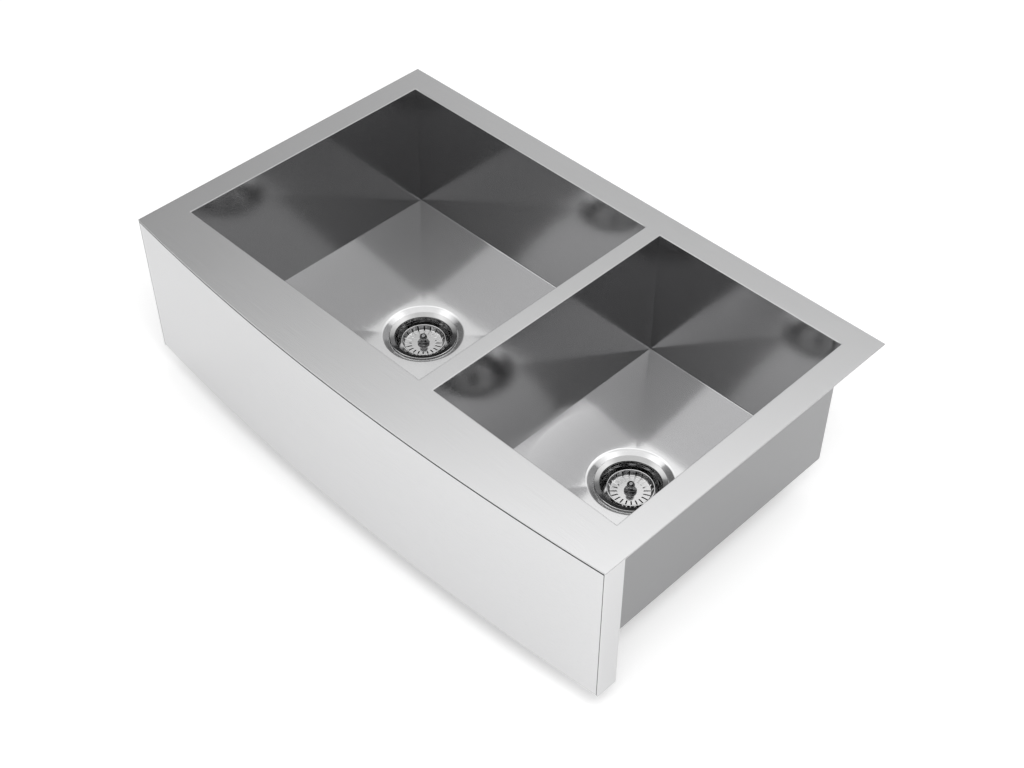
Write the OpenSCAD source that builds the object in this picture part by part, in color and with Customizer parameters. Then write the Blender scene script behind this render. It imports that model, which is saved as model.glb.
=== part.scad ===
// Farmhouse kitchen sink in sheet steel: a bowed apron front, a flat deck and
// two square-cornered bowls, each with a drain and a lift-out basket stopper.
// The origin is on the deck's top face, on the centreline of the sink and in
// the middle of the back rim. X runs to the right, Y to the back and Z up.

/* [Bowls] */
// Inside width of the left bowl
left_bowl_w = 488; // [400:1:560]
// Inside width of the right bowl
right_bowl_w = 318; // [260:1:400]
// Inside length of both bowls, from front to back
bowl_d = 440; // [380:1:500]
// Depth of the bowls, from the deck's top face to the edge of the floor
bowl_h = 222; // [180:1:250]
// Fall of the floor from the walls to the drain, along four flat planes
floor_fall = 2.5; // [1:0.1:4]
// Inside radius of the bends from the floor to the front and back walls
bend_r = 1.5; // [0.5:0.1:5]

/* [Deck] */
// Thickness of the sheet steel of the deck, the bowls and the apron
sheet = 1.5; // [1:0.1:2.5]
// Width of the deck beside the left bowl
left_rim = 40; // [25:1:60]
// Width of the deck beside the right bowl
right_rim = 41; // [25:1:60]
// Width of the deck between the bowls
divider = 27; // [20:1:50]
// Width of the deck behind the bowls
back_rim = 42; // [30:1:70]
// Width of the deck before the bowls, at the sink's front corners
front_rim = 64; // [45:1:90]

/* [Apron] */
// Height of the apron with the deck
apron_h = 248; // [220:1:280]
// How far the middle of the apron stands out before its corners
bow = 25; // [10:1:40]
// Length of the apron's side returns, from front to back
return_d = 34; // [25:1:42]
// Width of the hem that is folded in along the apron's lower edge
hem = 15; // [8:1:25]

/* [Sound pads] */
// Thickness of the rubber pad under each floor
pad_t = 4; // [2:0.5:6]
// Distance from the edges of a pad to the bowl's walls
pad_margin = 30; // [15:1:50]
// Distance from a pad to the drain's recess
pad_gap = 9; // [4:1:20]

/* [Drain recess] */
// Width of the recess outside the seat of the strainer's flange
slope_w = 13; // [11:0.5:20]
// Depth of the edge of the drain hole below the edge of the floor
recess_h = 9; // [8:0.1:11]
// Slope of the seat that carries the strainer's flange
seat_angle = 14; // [8:1:18]
// Radius of the soft lip of the recess
lip_r = 12; // [6:0.5:14]
// Radius between the seat and the slope
heel_r = 3; // [2:0.5:5]

/* [Strainer] */
// Bore of the strainer's cup below its mouth
cup_bore = 86.4; // [82:0.1:90]
// Width of the step that narrows the cup above its thread
step_w = 2; // [1:0.1:3]
// Thickness of the cup's metal
cup_t = 1.2; // [0.8:0.1:1.4]
// Radius of the rolled edge of the mouth
mouth_r = 2.6; // [2:0.1:4]
// Width of the flange, from the rolled edge outwards
flange_w = 7.2; // [4:0.1:8]
// Depth from the mouth's edge to the face that the stopper closes
cup_h = 27; // [24:0.5:45]
// Height of the step in the cup's wall
step_h = 2.5; // [1.5:0.1:3]
// Radius between the cup's wall and its bottom
cup_corner_r = 5; // [3:0.5:7]
// Slope of the cup's bottom towards the outlet
bottom_angle = 12; // [5:1:18]
// Width of the flat face round the outlet that the stopper closes
face_w = 5.1; // [3:0.1:6]
// Outside diameter of the threaded outlet
outlet_d = 47.6; // [40:0.1:50]
// Wall of the threaded outlet
outlet_wall = 2.4; // [1.5:0.1:3]
// Length of the threaded outlet below the cup's bottom
outlet_h = 25; // [18:1:35]
// Width of the arms of the crossbar in the outlet
cross_w = 5; // [3:0.5:7]
// Thickness of the crossbar
cross_t = 2.5; // [1.5:0.1:4]
// Depth of the crossbar below the face that the stopper closes
cross_drop = 6; // [5:0.5:9]
// Diameter of the crossbar's hub
hub_d = 16; // [14:0.5:20]

/* [Strainer fixing] */
// Thickness of the gasket under the flange
gasket_t = 1; // [0.5:0.1:1.5]
// Thickness of the rubber washer under the bowl, at its inner edge
washer_t = 4; // [3:0.5:6]
// Thickness of the fibre friction ring
fibre_t = 1.5; // [1:0.1:2.5]
// Height of the locknut
locknut_h = 9; // [6:0.5:10]
// Width of the washer, the friction ring and the locknut
ring_w = 7; // [5:0.5:8]
// Number of lugs on the locknut
lug_count = 8; // [4:1:12]
// Width of a lug
lug_w = 10; // [6:0.5:12]
// Height of a lug above the locknut's round
lug_h = 3; // [1:0.5:5]

/* [Basket] */
// Width of the gap between the basket's rim and the cup
basket_gap = 6.7; // [3:0.1:9]
// How far the basket's wall leans out
basket_flare = 2.9; // [1:0.1:5]
// Height of the rim above the floor
basket_h = 8; // [6:0.5:12]
// Thickness of the basket's metal
basket_t = 0.8; // [0.5:0.1:1.2]
// Width of the flat rim
basket_lip = 1.6; // [1:0.1:2.5]
// Number of slots
slot_count = 20; // [10:1:26]
// Width of a slot
slot_w = 2; // [1:0.1:2.6]
// Length of a slot on the basket's floor
slot_run = 10.5; // [6:0.5:13]
// Distance from a slot's upper end to the top of the rim
slot_below = 2; // [1.5:0.1:4]

/* [Stopper] */
// Diameter of the knob's round head
knob_d = 11.8; // [9:0.1:14]
// Diameter of the knob's foot
knob_foot_d = 18.6; // [16:0.1:24]
// Height of the knob
knob_h = 18.2; // [15:0.1:24]
// Height of the knob's straight foot
knob_foot_h = 1.4; // [0.8:0.1:3]
// Diameter of the post where the basket turns on it
journal_d = 7; // [6:0.1:9]
// Diameter of the rest of the post
post_d = 5; // [4:0.1:5.5]
// Length of the post inside the knob
spigot_h = 8; // [5:0.5:10]
// Diameter of the round catch at the post's lower end
catch_d = 8.6; // [7:0.1:9.5]
// Width of the flat face left bare outside the rubber stopper
stopper_inset = 0.5; // [0.2:0.1:1.5]
// Height of the rubber stopper
stopper_h = 11.3; // [10:0.1:16]
// Thickness of the stopper's outer edge
stopper_edge = 2.6; // [2:0.1:4]
// Diameter of the stopper's neck
stopper_neck_d = 20; // [14:0.5:24]
// Thickness of the washer between the basket and the stopper
shim_t = 1; // [0.5:0.1:1.5]
// Diameter of that washer
shim_d = 18; // [14:0.5:22]
// Width across the flats of the nut under the stopper
nut_w = 10; // [9:0.5:13]
// Height of that nut
nut_h = 4; // [3:0.5:4.5]

/* [Hidden] */

$fn = 96;
// The bowed front is part of a very large circle, which needs more sides
bow_fn = 1440;
// Points on each rounded corner of a turned outline
arc_steps = 6;

steel = [0.76, 0.77, 0.78];
bright = [0.84, 0.85, 0.86];
rubber = [0.13, 0.13, 0.14];
fibre = [0.62, 0.50, 0.36];

// Overrun of every cut
cut = 1;
// Radial clearance between the cup and the hole in the floor
hole_gap = 0.2;
// Radial clearance of a ring or nut on what it surrounds
ring_gap = 0.1;
// Radial clearance of the basket on its journal
turn_gap = 0.06;
// Axial clearance on each side of the turning basket
play = 0.3;
// Gap between the rubber stopper and the face that it closes
stopper_gap = 0.3;
// Radial clearance of the catch in the crossbar
catch_gap = 0.3;
// Height of the step's foot above the locknut
step_clear = 1;
// Height of the recess's lip above the floor that it is pressed into
lip_cut = 0.2;
// Width by which the flange reaches past its gasket
gasket_inset = 0.6;
// Radius at the foot of the basket's wall
basket_bend_r = 1.5;
// Height of the slope on top of the knob's foot
knob_skirt_h = 1.2;
// Depth below the middle of the knob's head at which the flare leaves it
knob_waist_drop = 3.2;
// Width of the seat left bare outside the flange
seat_margin = 0.7;

// Deck and bowls
deck_w = left_rim + left_bowl_w + divider + right_bowl_w + right_rim;
back_y = back_rim / 2;
bowl_y = -back_y - bowl_d / 2;
corner_y = -back_y - bowl_d - front_rim;
front_y = corner_y - bow;
bow_r = (pow(deck_w / 2, 2) + pow(bow, 2)) / (2 * bow);
left_x = -deck_w / 2 + left_rim + left_bowl_w / 2;
right_x = deck_w / 2 - right_rim - right_bowl_w / 2;
wall_h = bowl_h - sheet;

// Recess, from the same values as the strainer that it carries
cup_r = cup_bore / 2;
hole_r = cup_r + cup_t + hole_gap;
mouth_x = cup_r + mouth_r;
flange_in_r = mouth_x - mouth_r * sin(seat_angle);
flange_r = flange_in_r + flange_w;
heel_x = flange_r + seat_margin;
recess_r = heel_x + slope_w;
seat_drop = sheet / cos(seat_angle);
pad_hole_r = recess_r + pad_gap;

// Cup, from the mouth down
low_r = cup_r - step_w;
flange_lift = (gasket_t + cup_t) / cos(seat_angle);
mouth_z = seat_z(flange_in_r) + flange_lift - mouth_r * cos(seat_angle);
washer_z = seat_z(hole_r) - seat_drop - washer_t;
fibre_z = washer_z - fibre_t;
locknut_z = fibre_z - locknut_h;
step_z = fibre_z + step_clear;
face_z = mouth_z - cup_h;
outlet_r = outlet_d / 2;
outlet_bore_r = outlet_r - outlet_wall;
face_r = outlet_bore_r + face_w;
outlet_z = face_z - cup_t - outlet_h;
cross_z = face_z - cross_drop - cross_t;
low_out_r = low_r + cup_t;
ring_r = hole_r + ring_gap;
ring_out_r = ring_r + ring_w;
thread_r = low_out_r + ring_gap;

// Stopper and basket, stacked from the closed face up
stopper_z = face_z + stopper_gap;
shim_z = stopper_z + stopper_h;
basket_z = shim_z + shim_t + play + basket_t;
knob_z = basket_z + play;
journal_r = journal_d / 2;
post_r = post_d / 2;
catch_r = catch_d / 2;
catch_z = cross_z + cross_t / 2;
rim_r = low_r - basket_gap;
wall_top_r = rim_r - basket_lip;
floor_r = wall_top_r - basket_flare;
slot_start = floor_r - slot_run;
slot_rise = basket_h - slot_below;
stopper_r = face_r - stopper_inset;

// Height of the top face of the recess's seat at the radius r
function seat_z(r) = -recess_h + (r - hole_r) * tan(seat_angle);

// Points of an arc round the point c, from the angle a to the angle b
function arc(c, r, a, b) =
  [for (i = [0 : arc_steps]) let (t = a + (b - a) * i / arc_steps)
    c + r * [cos(t), sin(t)]];

// Outline of the recess for a bowl of the width w, from the hole's edge to
// the lip, moved by grow along its normal into the metal
function recess_line(w, grow) =
  let (
    reach = min(w, bowl_d - 2 * bend_r) / 2,
    lip_z = -floor_fall * (1 - recess_r / reach) + lip_cut,
    lip_c = [recess_r, lip_z - lip_r],
    heel = [heel_x, seat_z(heel_x)],
    away = lip_c - heel,
    slope = atan2(away[1], away[0]) + asin(lip_r / norm(away)),
    run = heel_r * tan((slope - seat_angle) / 2),
    heel_c = heel - run * [cos(seat_angle), sin(seat_angle)]
      + heel_r * [-sin(seat_angle), cos(seat_angle)]
  )
  concat(
    [[hole_r, seat_z(hole_r) - grow / cos(seat_angle)]],
    arc(heel_c, heel_r + grow, seat_angle - 90, slope - 90),
    arc(lip_c, lip_r - grow, 90 + slope, 90)
  );

// Space above a floor that falls to its middle, up to the height top
module fall_space(w, top) {
  reach_x = w / 2;
  reach_y = bowl_d / 2 - bend_r;
  intersection() {
    rotate([90, 0, 0]) linear_extrude(2 * reach_y, center = true)
      polygon([[-reach_x, 0], [0, -floor_fall], [reach_x, 0], [reach_x, top], [-reach_x, top]]);
    rotate([90, 0, 90]) linear_extrude(2 * reach_x, center = true)
      polygon([[-reach_y, 0], [0, -floor_fall], [reach_y, 0], [reach_y, top], [-reach_y, top]]);
  }
}

// Body turned from the recess's outline, filled up to the height top
module recess_space(w, grow, top) {
  line = recess_line(w, grow);
  rotate_extrude() polygon(concat([[0, line[0][1]]], line, [[recess_r, top], [0, top]]));
}

// Bowl in section from front to back, with bent lower corners, grown by grow
module bowl_section(grow, top) {
  half = bowl_d / 2 + grow;
  corner = bend_r + grow;
  translate([-half, corner - grow]) square([2 * half, top + grow - corner]);
  translate([corner - half, -grow]) square([2 * (half - corner), corner + grow]);
  for (side = [-1, 1]) translate([side * (half - corner), corner - grow]) circle(corner);
}

// Front wall, floor and back wall of a bowl, bent from one sheet, with the
// drain's recess pressed into it
module wrapper(w) {
  color(steel) difference() {
    union() {
      rotate([90, 0, 90]) linear_extrude(w, center = true) bowl_section(sheet, wall_h);
      translate([0, 0, -sheet]) fall_space(w, sheet);
      recess_space(w, sheet, -sheet / 2);
    }
    rotate([90, 0, 90]) linear_extrude(w + 2 * cut, center = true) bowl_section(0, wall_h + cut);
    fall_space(w, cut);
    recess_space(w, 0, cut);
    translate([0, 0, -recess_h - seat_drop - cut])
      cylinder(h = recess_h + seat_drop + 2 * cut, r = hole_r);
  }
}

// Flat end wall of a bowl, welded to the edge of the wrapper
module end_wall() {
  color(steel) rotate([90, 0, 90]) linear_extrude(sheet) bowl_section(sheet, wall_h);
}

module sound_pad(w) {
  color(rubber) difference() {
    intersection() {
      translate([0, 0, -sheet - pad_t]) fall_space(w, pad_t);
      translate([pad_margin - w / 2, pad_margin - bowl_d / 2, -sheet - pad_t - floor_fall - cut])
        cube([w - 2 * pad_margin, bowl_d - 2 * pad_margin, pad_t + floor_fall + 2 * cut]);
    }
    translate([0, 0, -sheet]) fall_space(w, sheet);
    translate([0, 0, -sheet - pad_t - floor_fall - cut])
      cylinder(h = pad_t + floor_fall + 2 * cut, r = pad_hole_r);
  }
}

// Outline of the whole sink from above, drawn in by inset along its front
module plan(inset) {
  intersection() {
    translate([0, front_y + bow_r]) circle(bow_r - inset, $fn = bow_fn);
    translate([-deck_w / 2, front_y]) square([deck_w, back_y - front_y]);
  }
}

module deck() {
  color(steel) translate([0, 0, -sheet]) linear_extrude(sheet) difference() {
    plan(0);
    translate([left_x - left_bowl_w / 2, bowl_y - bowl_d / 2]) square([left_bowl_w, bowl_d]);
    translate([right_x - right_bowl_w / 2, bowl_y - bowl_d / 2]) square([right_bowl_w, bowl_d]);
  }
}

// Strip of the outline that is deep behind the bowed front
module front_strip(deep) {
  intersection() {
    difference() {
      plan(0);
      plan(deep);
    }
    translate([sheet - deck_w / 2, front_y]) square([deck_w - 2 * sheet, bow + front_rim]);
  }
}

module apron_front() {
  color(steel) translate([0, 0, -apron_h]) {
    linear_extrude(apron_h - sheet) front_strip(sheet);
    linear_extrude(sheet) front_strip(hem);
  }
}

// Side return of the apron: side is -1 for the left one and 1 for the right
module apron_return(side) {
  x = side > 0 ? deck_w / 2 - sheet : -deck_w / 2;
  color(steel) translate([0, 0, -apron_h]) linear_extrude(apron_h - sheet) intersection() {
    plan(0);
    translate([x, front_y]) square([sheet, bow + return_d]);
  }
}

// Flanged cup with its outlet, turned in one piece
module strainer_body() {
  mouth_c = [mouth_x, mouth_z];
  corner_x = low_r - cup_corner_r;
  corner_c = [corner_x, face_z + (corner_x - face_r) * tan(bottom_angle)
    + cup_corner_r / cos(bottom_angle)];
  flange_top = seat_z(flange_r) + flange_lift;
  flange_edge = cup_t / cos(seat_angle);
  step_low = cup_t * tan(atan(step_w / step_h) / 2);
  color(bright) rotate_extrude() polygon(concat(
    [[flange_r, flange_top]],
    arc(mouth_c, mouth_r, 90 + seat_angle, 180),
    [[cup_r, step_z + step_h], [low_r, step_z]],
    arc(corner_c, cup_corner_r, 0, bottom_angle - 90),
    [[face_r, face_z], [outlet_bore_r, face_z], [outlet_bore_r, outlet_z]],
    [[outlet_r, outlet_z], [outlet_r, face_z - cup_t]],
    [[face_r + cup_t * tan(bottom_angle / 2), face_z - cup_t]],
    arc(corner_c, cup_corner_r + cup_t, bottom_angle - 90, 0),
    [[low_out_r, step_z - step_low], [cup_r + cup_t, step_z + step_h - step_low]],
    arc(mouth_c, mouth_r - cup_t, 180, 90 + seat_angle),
    [[flange_r, flange_top - flange_edge]]
  ));
}

// Cross in the outlet, with the hole that the post's catch passes
module strainer_crossbar() {
  color(bright) translate([0, 0, cross_z]) linear_extrude(cross_t) difference() {
    union() {
      circle(d = hub_d);
      intersection() {
        circle(outlet_bore_r);
        for (turn = [0, 90]) rotate(turn) square([2 * outlet_r, cross_w], center = true);
      }
    }
    circle(catch_r + catch_gap);
  }
}

// Gasket between the seat and the flange
module flange_gasket() {
  inner = hole_r + gasket_inset;
  outer = flange_r - gasket_inset;
  tall = gasket_t / cos(seat_angle);
  color(rubber) rotate_extrude() polygon([
    [inner, seat_z(inner)], [outer, seat_z(outer)],
    [outer, seat_z(outer) + tall], [inner, seat_z(inner) + tall]
  ]);
}

// Washer under the floor, whose top follows the slope of the seat
module rubber_washer() {
  color(rubber) rotate_extrude() polygon([
    [ring_r, washer_z], [ring_out_r, washer_z],
    [ring_out_r, seat_z(ring_out_r) - seat_drop], [ring_r, seat_z(ring_r) - seat_drop]
  ]);
}

module friction_ring() {
  color(fibre) translate([0, 0, fibre_z]) difference() {
    cylinder(h = fibre_t, r = ring_out_r);
    translate([0, 0, -cut]) cylinder(h = fibre_t + 2 * cut, r = ring_r);
  }
}

// Ring nut that is turned by the lugs on its outside
module locknut() {
  nut_r = ring_out_r - lug_h;
  color(bright) translate([0, 0, locknut_z]) difference() {
    union() {
      cylinder(h = locknut_h, r = nut_r);
      intersection() {
        cylinder(h = locknut_h, r = ring_out_r);
        for (i = [0 : lug_count - 1]) rotate(i * 360 / lug_count)
          translate([low_out_r, -lug_w / 2, 0]) cube([ring_out_r, lug_w, locknut_h]);
      }
    }
    translate([0, 0, -cut]) cylinder(h = locknut_h + 2 * cut, r = thread_r);
  }
}

// Pressed dish with slots that run out over its floor and up its wall
module basket() {
  lean = atan((wall_top_r - floor_r) / basket_h);
  run = basket_bend_r * tan((90 - lean) / 2);
  bend_c = [floor_r - run, basket_bend_r];
  side = basket_t / cos(lean);
  color(bright) translate([0, 0, basket_z]) difference() {
    rotate_extrude() polygon(concat(
      [[journal_r + turn_gap, -basket_t], [journal_r + turn_gap, 0]],
      arc(bend_c, basket_bend_r, -90, -lean),
      [[wall_top_r, basket_h], [rim_r, basket_h], [rim_r, basket_h - basket_t]],
      [[wall_top_r + side - basket_t * tan(lean), basket_h - basket_t]],
      arc(bend_c, basket_bend_r + basket_t, -lean, -90)
    ));
    for (i = [0 : slot_count - 1]) rotate((i + 0.5) * 360 / slot_count)
      translate([slot_start, 0, -basket_t - cut]) {
        cylinder(h = basket_t + cut + slot_rise, d = slot_w);
        translate([0, -slot_w / 2, 0])
          cube([rim_r - slot_start, slot_w, basket_t + cut + slot_rise]);
      }
  }
}

// Knob with a round head on a waist that flares out to its foot
module knob() {
  head_r = knob_d / 2;
  foot_r = knob_foot_d / 2;
  head_z = knob_h - head_r;
  meet = -asin(knob_waist_drop / head_r);
  color(bright) translate([0, 0, knob_z]) rotate_extrude() polygon(concat(
    [[0, spigot_h], [post_r, spigot_h], [post_r, 0], [foot_r, 0], [foot_r, knob_foot_h]],
    arc([foot_r - knob_skirt_h, knob_foot_h], knob_skirt_h, 0, 60),
    arc([0, head_z], head_r, meet, 90)
  ));
}

// Post: spigot in the knob, journal for the basket, shank and round catch
module post() {
  journal_z = shim_z + shim_t;
  color(bright) {
    translate([0, 0, catch_z]) cylinder(h = knob_z + spigot_h - catch_z, r = post_r);
    translate([0, 0, journal_z]) cylinder(h = knob_z - journal_z, r = journal_r);
    translate([0, 0, catch_z]) sphere(catch_r);
  }
}

module post_washer() {
  color(bright) translate([0, 0, shim_z]) difference() {
    cylinder(h = shim_t, d = shim_d);
    translate([0, 0, -cut]) cylinder(h = shim_t + 2 * cut, r = post_r + ring_gap / 2);
  }
}

// Rubber stopper with a thin outer edge and a thick neck
module stopper() {
  inner = post_r + ring_gap / 2;
  neck = stopper_neck_d / 2;
  color(rubber) translate([0, 0, stopper_z]) rotate_extrude() polygon([
    [inner, 0], [stopper_r, 0], [stopper_r, stopper_edge],
    [neck, stopper_h / 2], [neck, stopper_h], [inner, stopper_h]
  ]);
}

module post_nut() {
  color(bright) translate([0, 0, stopper_z - nut_h]) difference() {
    cylinder(h = nut_h, d = nut_w / cos(30), $fn = 6);
    translate([0, 0, -cut]) cylinder(h = nut_h + 2 * cut, r = post_r + ring_gap / 2);
  }
}

module at_left() translate([left_x, bowl_y, -bowl_h]) children();
module at_right() translate([right_x, bowl_y, -bowl_h]) children();

deck();
apron_front();
apron_return(-1);  // apron_left_return
apron_return(1);  // apron_right_return

at_left() wrapper(left_bowl_w);  // left_bowl_wrapper
at_left() translate([-left_bowl_w / 2 - sheet, 0, 0]) end_wall();  // left_bowl_left_wall
at_left() translate([left_bowl_w / 2, 0, 0]) end_wall();  // left_bowl_right_wall
at_right() wrapper(right_bowl_w);  // right_bowl_wrapper
at_right() translate([-right_bowl_w / 2 - sheet, 0, 0]) end_wall();  // right_bowl_left_wall
at_right() translate([right_bowl_w / 2, 0, 0]) end_wall();  // right_bowl_right_wall
at_left() sound_pad(left_bowl_w);  // left_sound_pad
at_right() sound_pad(right_bowl_w);  // right_sound_pad

at_left() strainer_body();  // left_strainer_body
at_left() strainer_crossbar();  // left_strainer_crossbar
at_left() flange_gasket();  // left_flange_gasket
at_left() rubber_washer();  // left_rubber_washer
at_left() friction_ring();  // left_friction_ring
at_left() locknut();  // left_locknut
at_left() basket();  // left_basket
at_left() knob();  // left_knob
at_left() post();  // left_post
at_left() post_washer();  // left_post_washer
at_left() stopper();  // left_stopper
at_left() post_nut();  // left_post_nut

at_right() strainer_body();  // right_strainer_body
at_right() strainer_crossbar();  // right_strainer_crossbar
at_right() flange_gasket();  // right_flange_gasket
at_right() rubber_washer();  // right_rubber_washer
at_right() friction_ring();  // right_friction_ring
at_right() locknut();  // right_locknut
at_right() basket();  // right_basket
at_right() knob();  // right_knob
at_right() post();  // right_post
at_right() post_washer();  // right_post_washer
at_right() stopper();  // right_stopper
at_right() post_nut();  // right_post_nut
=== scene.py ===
"""Farmhouse kitchen sink in satin steel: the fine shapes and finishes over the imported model.

All sizes are in metres, in the part's own frame. The origin is on the deck's top face, in
the middle of the back rim, X runs to the right, Y to the back and Z up.
"""

import math

import bmesh
import bpy
from mathutils import Matrix, Vector


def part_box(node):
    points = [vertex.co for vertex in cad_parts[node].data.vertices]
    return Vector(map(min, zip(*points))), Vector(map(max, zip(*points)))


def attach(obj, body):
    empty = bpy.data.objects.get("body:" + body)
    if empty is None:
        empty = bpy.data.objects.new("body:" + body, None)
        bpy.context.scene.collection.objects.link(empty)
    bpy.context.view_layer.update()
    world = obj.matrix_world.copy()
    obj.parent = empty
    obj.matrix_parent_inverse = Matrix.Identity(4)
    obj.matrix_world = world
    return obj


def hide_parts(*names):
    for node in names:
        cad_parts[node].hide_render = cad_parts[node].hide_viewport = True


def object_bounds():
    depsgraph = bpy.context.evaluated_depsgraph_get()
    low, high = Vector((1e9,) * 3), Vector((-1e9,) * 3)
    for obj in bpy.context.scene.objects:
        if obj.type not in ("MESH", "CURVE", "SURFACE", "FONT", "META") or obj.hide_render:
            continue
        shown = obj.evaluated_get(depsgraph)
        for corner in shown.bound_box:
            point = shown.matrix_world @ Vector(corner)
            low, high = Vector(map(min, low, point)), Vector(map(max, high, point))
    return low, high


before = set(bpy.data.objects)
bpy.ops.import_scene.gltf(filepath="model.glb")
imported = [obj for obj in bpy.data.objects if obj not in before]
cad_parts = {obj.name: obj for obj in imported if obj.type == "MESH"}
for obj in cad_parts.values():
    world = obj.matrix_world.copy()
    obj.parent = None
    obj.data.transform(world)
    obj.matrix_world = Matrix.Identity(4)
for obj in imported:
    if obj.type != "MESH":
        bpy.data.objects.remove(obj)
solid_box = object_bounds()


# Deck: a flat sheet of stainless steel with a laser-cut opening for each bowl and a bowed
# front edge. The bowls and the apron are welded on from below, and its upper edges are
# rounded over half the sheet. The satin grain is brushed along the sink.
SHEET = 0.0015
BOW = 0.025
BOW_STEPS = 72
DECK_EDGE = 0.0008
BORDER = 0.003
OPENINGS = {"left": ((-0.417, -0.461), (0.071, -0.021)),
            "right": ((0.098, -0.461), (0.416, -0.021))}
SATIN = (0.76, 0.76, 0.765)
SATIN_POLISH = 0.16
# how often the brush lines and the clouds vary per metre along X, Y and Z
LONG_GRAIN = (14, 1400, 1400)
CLOUDS = (9, 9, 9)
LINE_HAZE = 0.02
CLOUD_HAZE = 0.01
GRAIN_DEPTH = 0.000004
SMOOTH_ANGLE = math.radians(35)
SAME = 1e-6
deck_low, deck_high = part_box("deck")
BOW_RADIUS = (deck_high.x ** 2 + BOW ** 2) / (2 * BOW)
bow_centre = Vector((0, deck_low.y + BOW_RADIUS, 0))


def bow_line(x):
    """How far forward the bowed front reaches at x."""
    return bow_centre.y - math.sqrt(BOW_RADIUS ** 2 - x ** 2)


def feed(material, value, socket):
    """Gives a socket a number, a colour or the result of another node."""
    if isinstance(value, bpy.types.NodeSocket):
        material.node_tree.links.new(value, socket)
    elif isinstance(value, (int, float)):
        socket.default_value = value
    else:
        socket.default_value = (*value, 1)


def calculated(material, operation, *terms):
    """The result of an operation on numbers or on the results of other nodes."""
    step = material.node_tree.nodes.new("ShaderNodeMath")
    step.operation = operation
    for term, socket in zip(terms, step.inputs):
        feed(material, term, socket)
    return step.outputs["Value"]


def mapped(material, value, start, end, low=0, high=1, soft=False):
    """Maps a value between start and end to low and high."""
    step = material.node_tree.nodes.new("ShaderNodeMapRange")
    if soft:
        step.interpolation_type = "SMOOTHSTEP"
    for name, term in (("Value", value), ("From Min", start), ("From Max", end),
                       ("To Min", low), ("To Max", high)):
        feed(material, term, step.inputs[name])
    return step.outputs["Result"]


def spread(material, value, low, high):
    """Maps a value between 0.3 and 0.7, where most of a noise lies, to low and high."""
    return mapped(material, value, 0.3, 0.7, low, high)


def tinted(material, value, start, end, blend_type="MIX"):
    """A colour that goes from start to end as a value goes from 0 to 1."""
    blend = material.node_tree.nodes.new("ShaderNodeMix")
    blend.data_type = "RGBA"
    blend.blend_type = blend_type
    for name, term in (("Factor", value), ("A", start), ("B", end)):
        feed(material, term, blend.inputs[name])
    return blend.outputs["Result"]


def varied(material, value, colour, share=0.03):
    """A colour made darker to lighter by a share of itself as a value goes from 0 to 1."""
    return tinted(material, value, [c * (1 - share) for c in colour],
                  [c * (1 + share) for c in colour])


def noise(material, stretch, detail=3.0, roughness=0.6, lowest=-1.0):
    """A noise over the object's own coordinates.

    It varies stretch times per metre along X, Y and Z. Below the lowest level it runs on
    unchanged.
    """
    nodes, links = material.node_tree.nodes, material.node_tree.links
    place = nodes.new("ShaderNodeTexCoord")
    level = nodes.new("ShaderNodeVectorMath")
    level.operation = "MAXIMUM"
    level.inputs[1].default_value = (-1, -1, lowest)
    scale = nodes.new("ShaderNodeMapping")
    scale.inputs["Scale"].default_value = stretch
    pattern = nodes.new("ShaderNodeTexNoise")
    pattern.inputs["Scale"].default_value = 1.0
    pattern.inputs["Detail"].default_value = detail
    pattern.inputs["Roughness"].default_value = roughness
    links.new(place.outputs["Object"], level.inputs[0])
    links.new(level.outputs["Vector"], scale.inputs["Vector"])
    links.new(scale.outputs["Vector"], pattern.inputs["Vector"])
    return pattern.outputs["Fac"]


def raised(material, value, depth):
    """A bump of the given depth in metres."""
    bump = material.node_tree.nodes.new("ShaderNodeBump")
    for name, term in (("Strength", 1.0), ("Distance", depth), ("Height", value)):
        feed(material, term, bump.inputs[name])
    return bump.outputs["Normal"]


def sockets(material):
    """The sockets of a material's shader."""
    return material.node_tree.nodes["Principled BSDF"].inputs


def new_finish(name, metallic):
    """A material with an empty shader."""
    material = bpy.data.materials.new(name)
    material.use_nodes = True
    feed(material, metallic, sockets(material)["Metallic"])
    return material


def dress(material, colour, roughness, normal):
    """Gives a material its colour, roughness and grain, and returns it."""
    for name, value in (("Base Color", colour), ("Roughness", roughness), ("Normal", normal)):
        feed(material, value, sockets(material)[name])
    return material


def satin_steel(name, grain, colour, polish, lowest=-1.0, metallic=1.0):
    """Stainless steel with a fine brushed grain and faint clouds in its polish."""
    steel = new_finish(name, metallic)
    lines = noise(steel, grain, lowest=lowest)
    clouds = noise(steel, CLOUDS, 2.0, 0.5)
    cloudy = calculated(steel, "ADD", spread(steel, lines, polish - LINE_HAZE, polish + LINE_HAZE),
                        spread(steel, clouds, -CLOUD_HAZE, CLOUD_HAZE))
    return dress(steel, varied(steel, spread(steel, lines, 0, 1), colour), cloudy,
                 raised(steel, lines, GRAIN_DEPTH))


def square_sheet(side):
    """A flat square round the origin."""
    shape = bmesh.new()
    bmesh.ops.create_grid(shape, x_segments=1, y_segments=1, size=side / 2)
    return shape


def fit(shape, size, middle):
    """Stretches a shape of one metre to its size and moves it to its middle."""
    bmesh.ops.scale(shape, vec=size, verts=shape.verts)
    bmesh.ops.translate(shape, vec=middle, verts=shape.verts)


def cut(shape, place, direction, drop=False):
    """Cuts through a shape at a place, and can drop what lies beyond in the direction."""
    bmesh.ops.bisect_plane(shape, geom=shape.verts[:] + shape.edges[:] + shape.faces[:],
                           dist=SAME, plane_co=place, plane_no=direction, clear_outer=drop)


def points_of(made):
    """The points among what an operator has just made."""
    return [part for part in made if isinstance(part, bmesh.types.BMVert)]


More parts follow.
